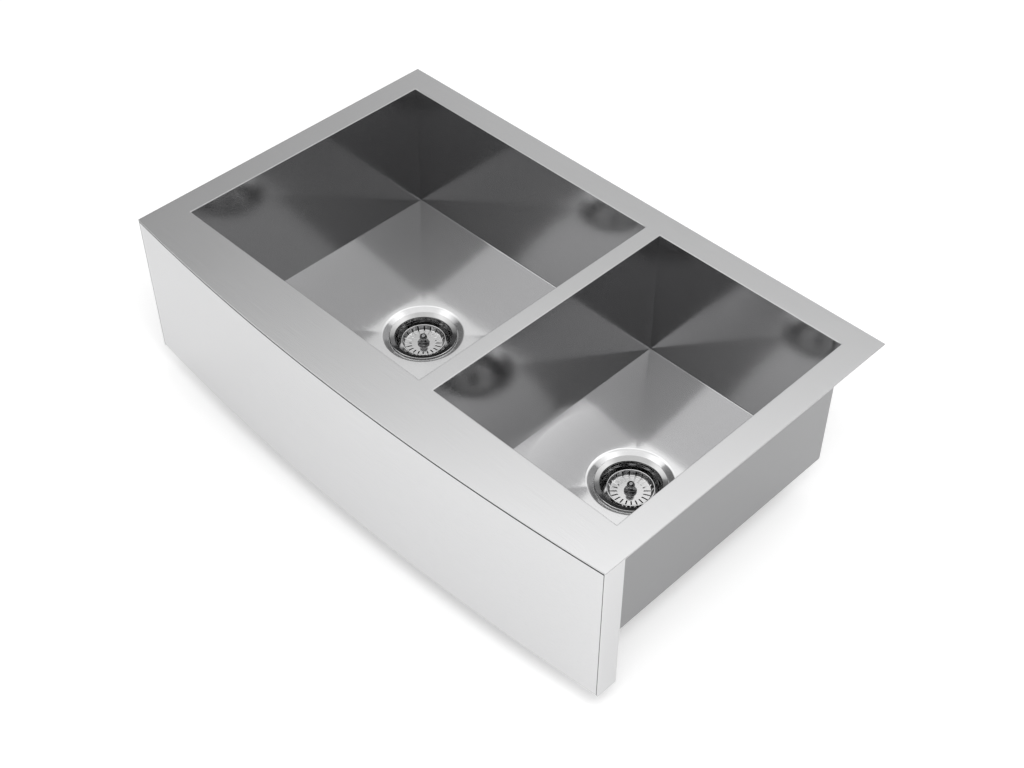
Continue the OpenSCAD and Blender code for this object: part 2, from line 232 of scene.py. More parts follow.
def thicken(shape, shift):
    """Gives a flat sheet its thickness."""
    made = bmesh.ops.extrude_face_region(shape, geom=shape.faces[:])["geom"]
    bmesh.ops.translate(shape, vec=shift, verts=points_of(made))
    bmesh.ops.recalc_face_normals(shape, faces=shape.faces)


def hard_edges(shape, degrees=40):
    """The edges of a shape at which its faces turn by more than the given angle."""
    return [edge for edge in shape.edges
            if len(edge.link_faces) == 2 and edge.calc_face_angle() > math.radians(degrees)]


def round_edges(shape, edges, radius, segments=3):
    """Rounds the given edges of a shape."""
    bmesh.ops.bevel(shape, geom=edges, offset=radius, offset_type="OFFSET", segments=segments,
                    profile=0.5, affect="EDGES", clamp_overlap=True, material=-1)


def new_piece(name, shape, finish, slot, body, *solids, wall=0):
    """Makes a finished shape a piece that rides on its body in place of its CAD solids.

    An open sheet is given its wall behind its faces.
    """
    mesh = bpy.data.meshes.new(name)
    shape.to_mesh(mesh)
    shape.free()
    mesh.materials.append(finish)
    mesh.shade_smooth()
    mesh.set_sharp_from_angle(angle=SMOOTH_ANGLE)
    piece = bpy.data.objects.new(name, mesh)
    bpy.context.scene.collection.objects.link(piece)
    if wall:
        metal = piece.modifiers.new("wall", "SOLIDIFY")
        metal.thickness = wall
        metal.offset = -1
        metal.use_even_offset = True
    even = piece.modifiers.new("even_faces", "WEIGHTED_NORMAL")
    even.keep_sharp = True
    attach(piece, body)
    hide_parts(*solids)
    return piece


long_grain = satin_steel("satin_steel_long_grain", LONG_GRAIN, SATIN, SATIN_POLISH)

deck_width = deck_high.x - deck_low.x
front_corner = bow_line(deck_high.x)
deck = square_sheet(1)
fit(deck, (deck_width, deck_high.y - front_corner, 1), (0, (deck_high.y + front_corner) / 2, 0))
# a narrow band of faces round each opening keeps its rounded edge even
for low, high in OPENINGS.values():
    for axis in (0, 1):
        across = Vector((1 - axis, axis, 0))
        for level in (low[axis] - BORDER, low[axis], high[axis], high[axis] + BORDER):
            cut(deck, across * level, across)
for step in range(1, BOW_STEPS):
    cut(deck, (deck_low.x + step * deck_width / BOW_STEPS, 0, 0), (1, 0, 0))
for vert in deck.verts:
    if vert.co.y < front_corner + SAME:
        vert.co.y = bow_line(vert.co.x)
cut_out = [face for face in deck.faces for low, high in OPENINGS.values()
           if low[0] < face.calc_center_median().x < high[0]
           and low[1] < face.calc_center_median().y < high[1]]
bmesh.ops.delete(deck, geom=cut_out, context="FACES")
thicken(deck, (0, 0, -SHEET))
top_edges = [edge for edge in hard_edges(deck) if all(abs(v.co.z) < SAME for v in edge.verts)]
round_edges(deck, top_edges, DECK_EDGE, 4)
new_piece("deck_sheet", deck, long_grain, "satin_steel", "sink", "deck")


# Apron: the bowed front sheet, folded in to a hem along its lower edge, and the two narrow side
# returns that close its ends. They are the deck's steel, brushed along the sink, and are welded
# on from inside. A painted shadow darkens the apron's top below the deck and its ends at each
# corner.
APRON_HEIGHT = 0.248
HEM = 0.015
HEM_BEND = 0.003
RETURN_EDGE = 0.001
RETURN_FOOT_EDGE = 0.0002
SEAM = 0.0004
# a painted shadow of this width darkens the apron along its top and at its end seams
TOP_SHADOW, TOP_SHADOW_COLOUR = 0.0022, (0.02, 0.02, 0.021)
END_SHADOW, END_SHADOW_COLOUR = TOP_SHADOW / 3, (0.12, 0.12, 0.122)
SHADOW_BLEND = 0.0002
# keeps the flat steps of the apron's bow behind those of the deck's edge
BOW_INSET = 0.000005


def fed(socket):
    """The result that feeds a socket so far."""
    return socket.links[0].from_socket


def along(material, axis):
    """The object's own coordinate along an axis."""
    nodes = material.node_tree.nodes
    place, axes = nodes.new("ShaderNodeTexCoord"), nodes.new("ShaderNodeSeparateXYZ")
    feed(material, place.outputs["Object"], axes.inputs["Vector"])
    return axes.outputs[axis]


def join_up(shape):
    """Merges the points that meet and points the faces one way."""
    bmesh.ops.remove_doubles(shape, verts=shape.verts, dist=SAME)
    bmesh.ops.recalc_face_normals(shape, faces=shape.faces)


def turn_over(shape, face, direction):
    """Turns an open sheet over where its face looks away from a direction."""
    if face.normal.dot(direction) < 0:
        bmesh.ops.reverse_faces(shape, faces=shape.faces)


apron_grain_and_shadow = satin_steel("satin_steel_apron_grain", LONG_GRAIN, SATIN, SATIN_POLISH)
apron_colour = sockets(apron_grain_and_shadow)["Base Color"]
from_middle = calculated(apron_grain_and_shadow, "ABSOLUTE", along(apron_grain_and_shadow, "X"))
# painted shadow: a dark strip along the top under the deck's edge and at each end by the returns
for place, start, tint in (
        (along(apron_grain_and_shadow, "Z"), -SHEET - SEAM - TOP_SHADOW, TOP_SHADOW_COLOUR),
        (from_middle, deck_high.x - SHEET - SEAM - END_SHADOW, END_SHADOW_COLOUR)):
    in_seam_shadow = mapped(apron_grain_and_shadow, place, start, start + SHADOW_BLEND)
    feed(apron_grain_and_shadow, tinted(apron_grain_and_shadow, in_seam_shadow, fed(apron_colour), tint), apron_colour)

# the section with its hem is drawn in the middle, turned to the left end and swept back
front = deck_low.y + BOW_INSET
apron = bmesh.new()
top = apron.verts.new((0, front, -SHEET - SEAM))
fold_start = apron.verts.new((0, front, HEM_BEND - APRON_HEIGHT))
apron.edges.new((top, fold_start))
fold = bmesh.ops.spin(apron, geom=[fold_start], axis=(1, 0, 0), angle=math.pi / 2, steps=6,
                      cent=(0, front + HEM_BEND, HEM_BEND - APRON_HEIGHT), use_merge=False)
hem_start = points_of(fold["geom_last"])[0]
hem_end = apron.verts.new((0, deck_low.y + HEM, -APRON_HEIGHT))
apron.edges.new((hem_start, hem_end))
half_turn = math.asin(deck_high.x / BOW_RADIUS)
bmesh.ops.rotate(apron, cent=bow_centre, matrix=Matrix.Rotation(-half_turn, 3, "Z"),
                 verts=apron.verts)
bmesh.ops.spin(apron, geom=apron.verts[:] + apron.edges[:], cent=bow_centre, axis=(0, 0, 1),
               angle=2 * half_turn, steps=BOW_STEPS, use_merge=False)
for end in (-1, 1):
    cut(apron, (end * (deck_high.x - SHEET - SEAM), 0, 0), (end, 0, 0), drop=True)
join_up(apron)
front_face = min(apron.faces, key=lambda face: face.calc_center_median().y)
turn_over(apron, front_face, Vector((0, -1, 0)))
new_piece("apron_sheet", apron, apron_grain_and_shadow, "satin_steel", "sink", "apron_front", wall=SHEET)

for name in ("apron_left_return", "apron_right_return"):
    low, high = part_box(name)
    outer_x = max(low.x, high.x, key=abs)
    plate = bmesh.new()
    bmesh.ops.create_cube(plate, size=1)
    fit(plate, high - low, (low + high) / 2)
    for vert in plate.verts:
        if vert.co.y < (low.y + high.y) / 2:
            vert.co.y = bow_line(vert.co.x)
    corner = [edge for edge in plate.edges
              if all(abs(v.co.x - outer_x) < SAME and v.co.y < low.y + RETURN_EDGE
                     for v in edge.verts)]
    round_edges(plate, corner, RETURN_EDGE, 4)
    foot = [edge for edge in hard_edges(plate, 60)
            if all(v.co.z < -SHEET - SAME for v in edge.verts)]
    round_edges(plate, foot, RETURN_FOOT_EDGE, 2)
    new_piece(name + "_plate", plate, long_grain, "satin_steel", "sink", name)


# Bowls: each front wall, floor and back wall is one bent sheet, with the drain's recess
# pressed into a floor of four faces that fall to it. A flat end wall is welded on each side
# and the seams inside are ground to sharp corners.
FLOOR_EDGE = -0.222
BOWL_LENGTH = 0.440
FALL = 0.0025
BEND = 0.0015
REACH_Y = BOWL_LENGTH / 2 - BEND
ROUND_STEPS = 128
FLOOR_RINGS = (0.150, 0.118, 0.094, 0.078, 0.070)
LIP = 0.06607
LIP_ROUND = 0.012
LIP_RISE = 0.0002
LIP_BLEND = 0.0003
HEEL = 0.05307
HEEL_ROUND = 0.003
SEAT_SLOPE = math.radians(14)
HOLE_RADIUS = 0.0446
SEAT_RINGS = (0.0505, 0.0475, HOLE_RADIUS)
RECESS_DEPTH = 0.009
END_WALL_EDGE = 0.0009
drains = {}
for side, (low, high) in OPENINGS.items():
    cup_low, cup_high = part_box(side + "_strainer_body")
    drains[side] = Vector(((cup_low.x + cup_high.x) / 2, (low[1] + high[1]) / 2, FLOOR_EDGE))


def outwards(x, y, width):
    """How far out x and y are on a floor, from 0 at its drain to 1 at its edges."""
    return max(abs(x) / (width / 2), abs(y) / REACH_Y)


def floor_height(x, y, width):
    """Height of the falling floor at x and y from its drain."""
    return -FALL * (1 - outwards(x, y, width))


def seat_height(radius):
    """Height of the sloping seat of the flange round the drain hole."""
    return (radius - HOLE_RADIUS) * math.tan(SEAT_SLOPE) - RECESS_DEPTH


def arc(x, z, radius, start, end, steps):
    """Points of an arc in the section of a turned shape, by its angles in degrees."""
    turns = [math.radians(start + (end - start) * i / steps) for i in range(steps + 1)]
    return [(x + radius * math.cos(turn), z + radius * math.sin(turn)) for turn in turns]


def recess_line(width):
    """Section of the recess from its lip down to the edge of the drain hole.

    Its straight wall leaves the round of the lip and meets the round of the heel smoothly.
    """
    lip_z = floor_height(LIP, 0, min(width, BOWL_LENGTH - 2 * BEND)) + LIP_RISE - LIP_ROUND
    away = Vector((LIP - HEEL, lip_z - seat_height(HEEL)))
    slope = math.atan2(away.y, away.x) + math.asin(LIP_ROUND / away.length)
    run = HEEL_ROUND * math.tan((slope - SEAT_SLOPE) / 2)
    heel_x = HEEL - run * math.cos(SEAT_SLOPE) - HEEL_ROUND * math.sin(SEAT_SLOPE)
    heel_z = seat_height(HEEL) - run * math.sin(SEAT_SLOPE) + HEEL_ROUND * math.cos(SEAT_SLOPE)
    wall, seat = math.degrees(slope), math.degrees(SEAT_SLOPE)
    return (arc(LIP, lip_z, LIP_ROUND, 90, 90 + wall, 9)
            + arc(heel_x, heel_z, HEEL_ROUND, wall - 90, seat - 90, 5)
            + [(radius, seat_height(radius)) for radius in SEAT_RINGS])


def edges_of(made):
    """The edges among what an operator has just made."""
    return [part for part in made if isinstance(part, bmesh.types.BMEdge)]


def falling_floor(shape, reach_x, reach_y, width, rings):
    """Draws a falling floor from a rectangle in to the given rings of radius and height.

    A ring without a height lies on the floor. The edges of the rectangle are returned.
    """
    bmesh.ops.create_circle(shape, cap_ends=False, radius=1, segments=ROUND_STEPS)
    for vert in shape.verts:
        spoke = max(abs(vert.co.x), abs(vert.co.y))
        x, y = vert.co.x / spoke * reach_x, vert.co.y / spoke * reach_y
        vert.co = (x, y, floor_height(x, y, width))
    border = loop = shape.edges[:]
    for radius, height in rings:
        made = bmesh.ops.extrude_edge_only(shape, edges=loop)["geom"]
        loop = edges_of(made)
        for vert in points_of(made):
            spoke = Vector(vert.co[:2]).normalized() * radius
            level = floor_height(spoke.x, spoke.y, width)
            if height is not None:
                # the lip runs softly out of the floor
                gap = math.sqrt((level - height) ** 2 + LIP_BLEND ** 2)
                level = (level + height - gap) / 2
            vert.co = (spoke.x, spoke.y, level)
    return border


def settle(shape, side):
    """Moves a shape made round the Z axis to the drain on the given side."""
    bmesh.ops.translate(shape, vec=drains[side], verts=shape.verts)
    return shape


def stored(material, name):
    """A value that a mesh stores on its points or faces."""
    attribute = material.node_tree.nodes.new("ShaderNodeAttribute")
    attribute.attribute_name = name
    return attribute.outputs["Fac"]


# The walls' darker colour is painted shade and the floor's paler one painted light, on one steel
# that is a little rougher on the walls. Each of the floor's four faces is made to lean further to
# the drain, and its side faces are painted lighter and its front and back faces darker, the more
# the nearer to a wall, so that the creases show as a star of painted light and shade with their
# images in the walls.
WALL_SHADE_COLOUR = (0.42, 0.42, 0.425)
WALL_POLISH = 0.13
WALL_METAL = 0.95
WALL_START = 0.0002
# painted light: the floor's colour, paler than the deck's steel
FLOOR_LIGHT_COLOUR = (0.88, 0.88, 0.885)
FLOOR_POLISH = 0.10
FLOOR_METAL = 0.8
# share of painted light on the side faces and painted shade on the front and back faces
FLOOR_FACE_SHADE = 0.09
LEAN = 0.0067
LEAN_POWER = 3.0
# painted shade on the end walls, darker than the deck's steel
END_WALL_SHADE_COLOUR = (0.35, 0.35, 0.355)
OUTER_POLISH = 0.2
CROSS_GRAIN = (1400, 14, 1400)
bowl_grain_and_shade = satin_steel("satin_steel_bowl_grain", LONG_GRAIN, (1, 1, 1), FLOOR_POLISH, FLOOR_EDGE)
bowl_sockets = sockets(bowl_grain_and_shade)
on_wall = mapped(bowl_grain_and_shade, along(bowl_grain_and_shade, "Z"), FLOOR_EDGE + WALL_START, FLOOR_EDGE + BEND)
lean = calculated(bowl_grain_and_shade, "POWER", stored(bowl_grain_and_shade, "from_drain"), LEAN_POWER)
face_light_share = calculated(bowl_grain_and_shade, "MULTIPLY_ADD", stored(bowl_grain_and_shade, "sideways"), lean, 0.5)
# painted light and shade by face on the floor, then painted shade on the walls
painted_floor_light_and_shade = varied(bowl_grain_and_shade, face_light_share, FLOOR_LIGHT_COLOUR, FLOOR_FACE_SHADE)
shade = tinted(bowl_grain_and_shade, on_wall, painted_floor_light_and_shade, WALL_SHADE_COLOUR)
feed(bowl_grain_and_shade, tinted(bowl_grain_and_shade, 1.0, fed(bowl_sockets["Base Color"]), shade, "MULTIPLY"),
     bowl_sockets["Base Color"])
feed(bowl_grain_and_shade, calculated(bowl_grain_and_shade, "MULTIPLY_ADD", on_wall, WALL_POLISH - FLOOR_POLISH,
                            fed(bowl_sockets["Roughness"])), bowl_sockets["Roughness"])
feed(bowl_grain_and_shade, mapped(bowl_grain_and_shade, on_wall, 0, 1, FLOOR_METAL, WALL_METAL),
     bowl_sockets["Metallic"])
feed(bowl_grain_and_shade, raised(bowl_grain_and_shade, lean, LEAN), fed(bowl_sockets["Normal"]).node.inputs["Normal"])

# the bowls' outsides carry the walls' painted shade in their colour
outer_grain = satin_steel("satin_steel_outer_grain", LONG_GRAIN, WALL_SHADE_COLOUR, OUTER_POLISH)
for side, (low, high) in OPENINGS.items():
    width = high[0] - low[0]
    bowl = bmesh.new()
    border = falling_floor(bowl, width / 2, REACH_Y, width,
                           [(radius, None) for radius in FLOOR_RINGS] + recess_line(width))
    from_drain = bowl.verts.layers.float.new("from_drain")
    for vert in bowl.verts:
        vert[from_drain] = outwards(vert.co.x, vert.co.y, width)
    sideways = bowl.faces.layers.float.new("sideways")
    for face in bowl.faces:
        middle = face.calc_center_median()
        face[sideways] = 0.5 if abs(middle.x) / (width / 2) > abs(middle.y) / REACH_Y else -0.5
    for end in (-1, 1):
        foot = [edge for edge in border if all(v.co.y * end > REACH_Y - SAME for v in edge.verts)]
        bend = bmesh.ops.spin(bowl, geom=foot + list({v for edge in foot for v in edge.verts}),
                              cent=(0, end * REACH_Y, BEND), axis=(1, 0, 0),
                              angle=end * math.pi / 2, steps=5, use_merge=False)
        wall_top = bmesh.ops.extrude_edge_only(bowl, edges=edges_of(bend["geom_last"]))["geom"]
        for vert in points_of(wall_top):
            vert.co.z = -SHEET - FLOOR_EDGE
    join_up(bowl)
    floor_face = min(bowl.faces, key=lambda face: abs(face.calc_center_median().z + FALL / 2))
    turn_over(bowl, floor_face, Vector((0, 0, 1)))
    sheet = new_piece(side + "_bowl_sheet", settle(bowl, side), bowl_grain_and_shade, "satin_steel",
                      "sink", side + "_bowl_wrapper", wall=SHEET)
    sheet.data.materials.append(outer_grain)
    sheet.modifiers["wall"].material_offset = 1

# the end walls carry a painted shade in their colour
cross_grain = satin_steel("satin_steel_cross_grain", CROSS_GRAIN, END_WALL_SHADE_COLOUR, WALL_POLISH,
                          metallic=WALL_METAL)
for name, inner in (("left_bowl_left_wall", 1), ("left_bowl_right_wall", -1),
                    ("right_bowl_left_wall", 1), ("right_bowl_right_wall", -1)):
    low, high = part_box(name)
    outer_x = low.x if inner > 0 else high.x
    middle_z = (low.z + high.z) / 2
    wall = square_sheet(1)
    bmesh.ops.rotate(wall, cent=(0, 0, 0), matrix=Matrix.Rotation(math.pi / 2, 3, "Y"),
                     verts=wall.verts)
    fit(wall, (1, high.y - low.y, high.z - low.z), (outer_x, (low.y + high.y) / 2, middle_z))
    bmesh.ops.bevel(wall, geom=[v for v in wall.verts if v.co.z < middle_z],
                    offset=BEND + SHEET, segments=6, profile=0.5, affect="VERTICES",
                    clamp_overlap=True, material=-1)
    thicken(wall, (inner * SHEET, 0, 0))
    outline = [edge for edge in hard_edges(wall)
               if all(abs(v.co.x - outer_x) < SAME for v in edge.verts)
               and min(v.co.z for v in edge.verts) < high.z - SAME]
    round_edges(wall, outline, END_WALL_EDGE, 3)
    new_piece(name + "_sheet", wall, cross_grain, "satin_steel", "sink", name)


# Sound pads: a slab of heavy black rubber is glued under each floor against the drumming of
# the water. It follows the four falling faces and is cut out round the drain.
PAD_MARGIN = 0.030
PAD_THICKNESS = 0.004
PAD_RINGS = (0.125, 0.1, 0.07507)
PAD_EDGE = 0.0006
RUBBER_GRAIN = (900, 900, 900)
RUBBER_DUST = (30, 30, 30)


def rubber(name, dark, light, roughness, tooth):
    """Black rubber with a matt, slightly toothed skin."""
    material = new_finish(name, 0.0)
    grain = noise(material, RUBBER_GRAIN)
    dust = noise(material, RUBBER_DUST)
    return dress(material, tinted(material, spread(material, dust, 0, 1), dark, light),
                 spread(material, dust, *roughness), raised(material, grain, tooth))


pad_rubber = rubber("pad_rubber", dark=(0.028, 0.028, 0.030), light=(0.050, 0.050, 0.052),
                    roughness=(0.75, 0.9), tooth=0.00012)
for side, (low, high) in OPENINGS.items():
    width = high[0] - low[0]
    pad = bmesh.new()
    falling_floor(pad, width / 2 - PAD_MARGIN, BOWL_LENGTH / 2 - PAD_MARGIN, width,
                  [(radius, None) for radius in PAD_RINGS])
    bmesh.ops.translate(pad, vec=(0, 0, -SHEET), verts=pad.verts)
    thicken(pad, (0, 0, -PAD_THICKNESS))
    round_edges(pad, hard_edges(pad, 60), PAD_EDGE, 2)
    new_piece(side + "_sound_pad_slab", settle(pad, side), pad_rubber, "pad_rubber", "sink",
              side + "_sound_pad")


# Strainer cups: each is deep drawn from bright stainless steel, with a rolled mouth on a
# sloping flange, a step above its thread, and an outlet with a thread for the waste pipe.
FLANGE_RADIUS = 0.05237
FLANGE_TOP = -0.0048
FLANGE_FOOT = (0.049, -0.00564)
MOUTH_ROUND = 0.0026
MOUTH_HEIGHT = -0.00911
CUP_RADIUS = 0.0432
CUP_WALL = 0.0012
STEP_TOP = -0.01255
STEP_FOOT = -0.01505
LOW_RADIUS = 0.0412
CORNER = (0.0362, -0.02894)
CORNER_ROUND = 0.005
FACE_HEIGHT = -0.03611
FACE_RADIUS = 0.0265
OUTLET_BORE = 0.0214
OUTLET_RADIUS = 0.0238
OUTLET_TOP = FACE_HEIGHT - CUP_WALL
OUTLET_END = -0.06231
OUTLET_PITCH = 0.0022
CUP_PITCH = 0.0020
THREAD_DEPTH = 0.0004
# how often the turning marks vary per metre across the axis, and the smears every way
MARKS_ACROSS = 60
TURNING_SMEARS = (120, 120, 120)


def turned_steel(name, colour, roughness, rings, depth):
    """Bright stainless steel with fine turning marks round its own axis."""
    steel = new_finish(name, 1.0)
    marks = noise(steel, (MARKS_ACROSS, MARKS_ACROSS, rings), 1.0, 0.5)
    smears = noise(steel, TURNING_SMEARS)
    return dress(steel, varied(steel, spread(steel, smears, 0, 1), colour),
                 spread(steel, smears, *roughness), raised(steel, marks, depth))


def turn(section, closed=True, steps=ROUND_STEPS):
    """Spins a section of radius and height round the Z axis."""
    shape = bmesh.new()
    points = [shape.verts.new((radius, 0, height)) for radius, height in section]
    pairs = list(zip(points, points[1:])) + ([(points[-1], points[0])] if closed else [])
    lines = [shape.edges.new(pair) for pair in pairs]
    bmesh.ops.spin(shape, geom=points + lines, cent=(0, 0, 0), axis=(0, 0, 1),
                   angle=2 * math.pi, steps=steps, use_merge=True)
    join_up(shape)
    return shape


def thread(radius, top, bottom, pitch):
    """Section of a thread from its bottom to its top, with a crest midway in each turn."""
    turns = round((top - bottom) / pitch)
    pitch = (top - bottom) / turns
    root = radius - THREAD_DEPTH
    return [point for i in range(turns) for point in (
        (root, top - (i + 0.12) * pitch), (radius, top - (i + 0.4) * pitch),
        (radius, top - (i + 0.6) * pitch), (root, top - (i + 0.88) * pitch))][::-1]


def refinish(node, finish):
    """Gives a CAD node that stays in the scene its finish."""
    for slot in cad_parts[node].material_slots:
        slot.material = finish


bright_steel = turned_steel("bright_steel", colour=(0.60, 0.60, 0.60), roughness=(0.08, 0.11),
                            rings=1200, depth=0.000001)
# from the flange's rim down the inside to the outlet's end, and back up the outside
cup_section = (
    [(FLANGE_RADIUS - 0.0005, FLANGE_TOP - 0.00012), FLANGE_FOOT]
    + arc(CUP_RADIUS + MOUTH_ROUND, MOUTH_HEIGHT, MOUTH_ROUND, 104, 180, 8)
    + [(CUP_RADIUS, STEP_TOP + 0.0006), (CUP_RADIUS - 0.0003, STEP_TOP),
       (LOW_RADIUS + 0.0003, STEP_FOOT), (LOW_RADIUS, STEP_FOOT - 0.0006)]
    + arc(*CORNER, CORNER_ROUND, 0, -78, 8)
    + [(FACE_RADIUS + 0.0004, FACE_HEIGHT + 0.00009), (FACE_RADIUS - 0.0004, FACE_HEIGHT),
       (OUTLET_BORE + 0.0006, FACE_HEIGHT), (OUTLET_BORE, FACE_HEIGHT - 0.0006),
       (OUTLET_BORE, OUTLET_END + 0.0004), (OUTLET_BORE + 0.0004, OUTLET_END),
       (OUTLET_RADIUS - 0.0008, OUTLET_END)]
    + thread(OUTLET_RADIUS, OUTLET_TOP - 0.003, OUTLET_END + 0.0006, OUTLET_PITCH)
    + [(OUTLET_RADIUS, OUTLET_TOP - 0.0026), (OUTLET_RADIUS, OUTLET_TOP)]
    + arc(*CORNER, CORNER_ROUND + CUP_WALL, -78, 0, 8)
    + thread(LOW_RADIUS + CUP_WALL, STEP_FOOT - 0.0012, CORNER[1] + 0.0006, CUP_PITCH)
    + [(LOW_RADIUS + CUP_WALL, STEP_FOOT - 0.0004), (CUP_RADIUS + CUP_WALL, STEP_TOP - 0.0004)]
    + arc(CUP_RADIUS + MOUTH_ROUND, MOUTH_HEIGHT, MOUTH_ROUND - CUP_WALL, 180, 104, 6)
    + [(FLANGE_RADIUS - 0.0003, FLANGE_TOP - 0.00128), (FLANGE_RADIUS, FLANGE_TOP - 0.0009),
       (FLANGE_RADIUS, FLANGE_TOP - 0.0004)])
for side in OPENINGS:
    new_piece(side + "_strainer_cup", settle(turn(cup_section), side), bright_steel,
              "bright_steel", "sink", side + "_strainer_body")
    refinish(side + "_strainer_crossbar", bright_steel)


# Strainer fixings: under the floor, a thick rubber washer and a fibre friction ring lie on
# a cast locknut with lugs, which pulls the cup's flange down on its gasket.
RING_BORE = 0.0447
RING_RADIUS = 0.0517
WASHER_OUTER_TOP = -0.00878
WASHER_INNER_TOP = -0.01052
WASHER_FOOT = -0.01455
RING_FOOT = -0.01605
LOCKNUT_FOOT = -0.02505
THREAD_BORE = 0.0425
LUG_HEIGHT = 0.003
LUG_SPACING = 45
LUG_HALF = 5
NUT_STEPS = 120
RUBBER_EDGE = 0.0005
FIBRE_EDGE = 0.0002
NUT_EDGE = 0.0004
FIBRE_FLECKS = (1600, 1600, 5000)


def between_lugs(face):
    """Whether a face of the locknut's outer ring lies between two lugs."""
    middle = face.calc_center_median()
    past_lug = math.degrees(math.atan2(middle.x, middle.y)) % LUG_SPACING
    return (middle.xy.length > RING_RADIUS - LUG_HEIGHT
            and min(past_lug, LUG_SPACING - past_lug) > LUG_HALF)


washer_rubber = rubber("washer_rubber", dark=(0.018, 0.018, 0.019), light=(0.035, 0.035, 0.036),
                       roughness=(0.45, 0.6), tooth=0.00003)
fibre = new_finish("pressed_fibre", 0.0)
flecks = noise(fibre, FIBRE_FLECKS, 4.0, 0.7)
fibre_colour = tinted(fibre, spread(fibre, flecks, 0, 1), (0.27, 0.17, 0.09), (0.50, 0.36, 0.22))
dress(fibre, fibre_colour, roughness=0.85, normal=raised(fibre, flecks, depth=0.00008))
cast_steel = turned_steel("cast_nut_steel", colour=(0.62, 0.62, 0.61), roughness=(0.28, 0.38),
                          rings=600, depth=0.00002)
washer_section = [(RING_BORE, WASHER_FOOT), (RING_RADIUS, WASHER_FOOT),
                  (RING_RADIUS, WASHER_OUTER_TOP), (RING_BORE, WASHER_INNER_TOP)]
friction_section = [(RING_BORE, RING_FOOT), (RING_RADIUS, RING_FOOT), (RING_RADIUS, WASHER_FOOT),
                    (RING_BORE, WASHER_FOOT)]
nut_section = [(THREAD_BORE, RING_FOOT), (RING_RADIUS - LUG_HEIGHT, RING_FOOT),
               (RING_RADIUS, RING_FOOT)]
for side in OPENINGS:
    washer = turn(washer_section)
    round_edges(washer, hard_edges(washer), RUBBER_EDGE)
    new_piece(side + "_washer_ring", settle(washer, side), washer_rubber, "washer_rubber",
              "sink", side + "_rubber_washer")
    ring = turn(friction_section)
    round_edges(ring, hard_edges(ring), FIBRE_EDGE, 1)
    new_piece(side + "_fibre_ring", settle(ring, side), fibre, "fibre", "sink",
              side + "_friction_ring")
    nut = turn(nut_section, closed=False, steps=NUT_STEPS)
    bmesh.ops.delete(nut, geom=[face for face in nut.faces if between_lugs(face)],
                     context="FACES")
    thicken(nut, (0, 0, LOCKNUT_FOOT - RING_FOOT))
    round_edges(nut, [edge for edge in hard_edges(nut, 50) if edge.is_convex], NUT_EDGE, 2)
    new_piece(side + "_lugged_nut", settle(nut, side), cast_steel, "bright_steel", "sink",
              side + "_locknut")
    refinish(side + "_flange_gasket", washer_rubber)


# Baskets: each is a dish pressed from thin bright steel, with a narrow rounded rim and twenty
# slots that run out over its floor and up its wall. It turns on the journal of the post and
# lifts out with the plug.
BASKET_FLOOR = -0.02241
BASKET_WALL = 0.0008
BASKET_EDGE = 0.00012
SLOTS = 20
SLOT_HALF = 0.001
FIRST_SLOT_ROW, LAST_SLOT_ROW = 3, 14
HALF_SECTOR = math.radians(180 / SLOTS)
# rows from the hole for the post out to the rim: radius, height and half the slot's width
basket_rows = [(0.00356, 0, 0.0002), (0.0100, 0, 0.0006), (0.0172, 0, 0.0008), (0.0185, 0, 0),
               (0.0187, 0, 0.0006), (0.0190, 0, 0.000866), (0.0195, 0, SLOT_HALF),
               (0.0240, 0, SLOT_HALF)]
basket_rows += [(x, z, SLOT_HALF) for x, z in arc(0.02895, 0.0015, 0.0015, -90, -20, 4)]
basket_rows += [(0.03125, 0.00345, SLOT_HALF), (0.03218, 0.0060, SLOT_HALF),
                (0.03262, 0.0072, SLOT_HALF)]
basket_rows += [(x, z, SLOT_HALF) for x, z in arc(0.03335, 0.0073, 0.0007, 160, 90, 3)]
basket_rows += [(0.0339, 0.0080, SLOT_HALF), (0.0343, 0.00792, SLOT_HALF),
                (0.0345, 0.0077, SLOT_HALF)]
# a sector has six columns of points, with the slot between the two in its middle
COLUMN_SHARES = (-1, -0.5, 0, 0, 0.5, 1)

